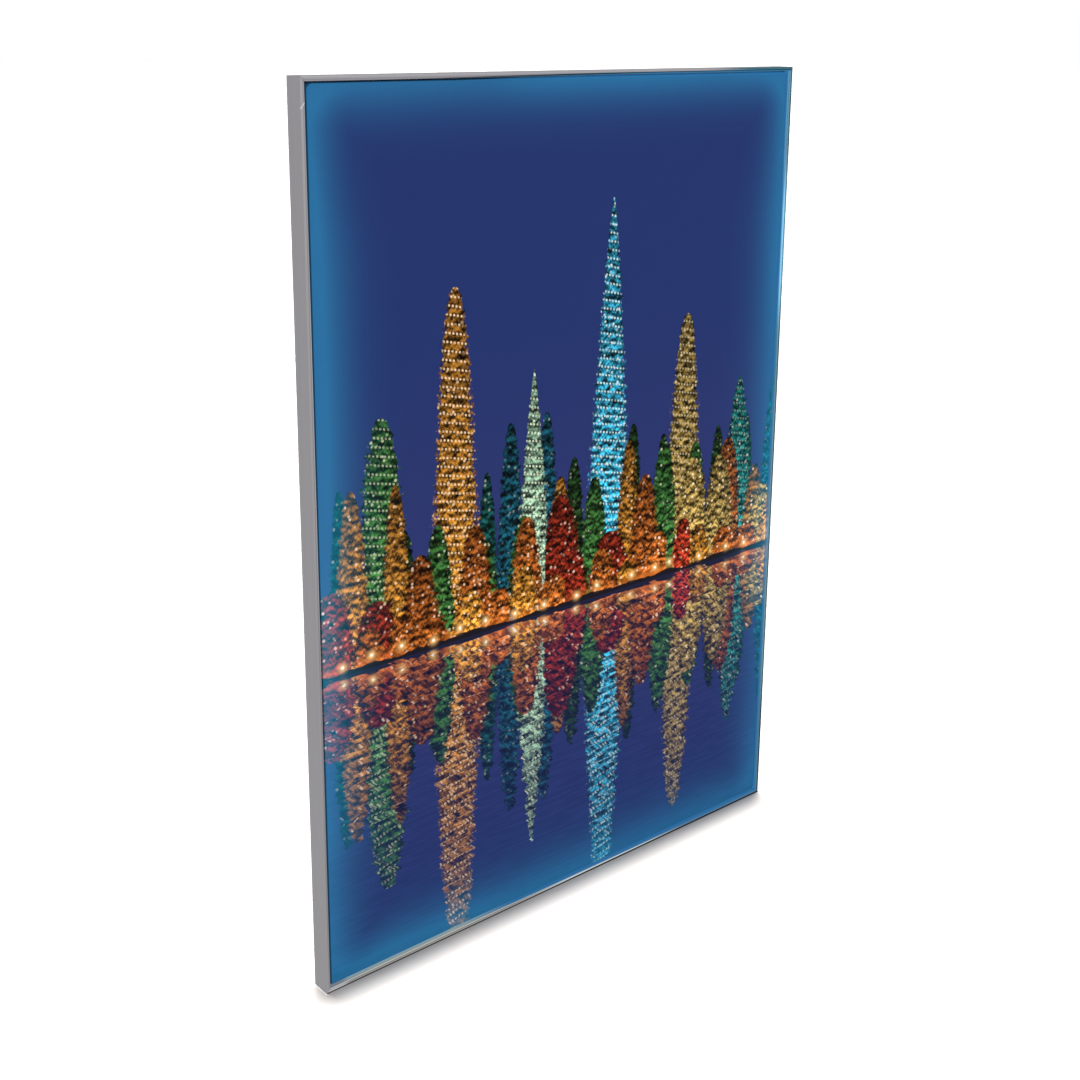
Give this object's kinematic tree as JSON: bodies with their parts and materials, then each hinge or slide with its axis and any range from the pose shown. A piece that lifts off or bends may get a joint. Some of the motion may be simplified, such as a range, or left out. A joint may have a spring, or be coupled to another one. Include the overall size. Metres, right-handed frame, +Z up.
{
  "type": "led poster frame",
  "caption": "Slim edge-lit poster frame: mitred aluminium profiles round a back-lit textile print, standing on its lower edge, with sliding keyhole hangers behind.",
  "frame": {"origin": "middle of the footprint, on the plane that the frame stands on; y = 0 is midway between the lip's face and the hangers' back", "axes": "+X to the right seen from the front, +Y to the back, +Z up along the uprights"},
  "size_m": [0.604, 0.0232, 0.851],
  "materials": {
    "satin_aluminium": "satin anodised",
    "zinc_steel": "bright zinc",
    "printed_textile": "matt woven, lit from behind",
    "clear_silicone": "translucent",
    "light_guide_acrylic": "polished",
    "opal_diffuser": "opal",
    "white_reflector": "matt white",
    "back_sheet": "matt",
    "white_led_board": "white solder mask",
    "green_circuit_board": "solder mask",
    "black_plastic": "fine grain",
    "black_rubber": "matt",
    "lead_jacket": "smooth"
  },
  "bodies": {
    "frame": {"left_profile": "satin_aluminium", "led_bar_left": "white_led_board", "top_profile": "satin_aluminium", "led_bar_top": "white_led_board", "right_profile": "satin_aluminium", "led_bar_right": "white_led_board", "bottom_profile": "satin_aluminium", "led_bar_bottom": "white_led_board", "corner_bracket_top_left": "zinc_steel", "set_screw_top_left_upright": "zinc_steel", "set_screw_top_left_level": "zinc_steel", "corner_bracket_top_right": "zinc_steel", "set_screw_top_right_upright": "zinc_steel", "set_screw_top_right_level": "zinc_steel", "corner_bracket_bottom_left": "zinc_steel", "set_screw_bottom_left_upright": "zinc_steel", "set_screw_bottom_left_level": "zinc_steel", "corner_bracket_bottom_right": "zinc_steel", "set_screw_bottom_right_upright": "zinc_steel", "set_screw_bottom_right_level": "zinc_steel", "led_jumper_top_left": "lead_jacket", "led_jumper_top_right": "lead_jacket", "led_jumper_bottom_left": "lead_jacket", "back_panel": "back_sheet", "reflector_sheet": "white_reflector", "light_guide": "light_guide_acrylic", "diffuser_sheet": "opal_diffuser", "panel_screw_1": "zinc_steel", "panel_screw_2": "zinc_steel", "panel_screw_3": "zinc_steel", "panel_screw_4": "zinc_steel", "panel_screw_5": "zinc_steel", "panel_screw_6": "zinc_steel", "panel_screw_7": "zinc_steel", "panel_screw_8": "zinc_steel", "bumper_left": "black_rubber", "bumper_right": "black_rubber", "power_box": "black_plastic", "power_box_cover": "black_plastic", "power_inlet": "black_plastic", "cover_screw_1": "zinc_steel", "cover_screw_2": "zinc_steel", "junction_board": "green_circuit_board", "feed_lead": "lead_jacket"},
    "print": {"print_textile": "printed_textile", "keder_left": "clear_silicone", "keder_top": "clear_silicone", "keder_right": "clear_silicone", "keder_bottom": "clear_silicone"},
    "left_hanger": {"hanger_plate_left": "zinc_steel", "hanger_slider_left": "zinc_steel", "hanger_clamp_screw_left": "zinc_steel"},
    "right_hanger": {"hanger_plate_right": "zinc_steel", "hanger_slider_right": "zinc_steel", "hanger_clamp_screw_right": "zinc_steel"}
  },
  "joints": [
    {"name": "print_pull", "type": "slide", "parent": "frame", "child": "print", "axis": [0, -1, 0], "range_m": [0, 0.03]},
    {"name": "left_hanger_slide", "type": "slide", "parent": "frame", "child": "left_hanger", "axis": [1, 0, 0], "range_m": [-0.05, 0.05]},
    {"name": "right_hanger_slide", "type": "slide", "parent": "frame", "child": "right_hanger", "axis": [1, 0, 0], "range_m": [-0.05, 0.05]}
  ]
}
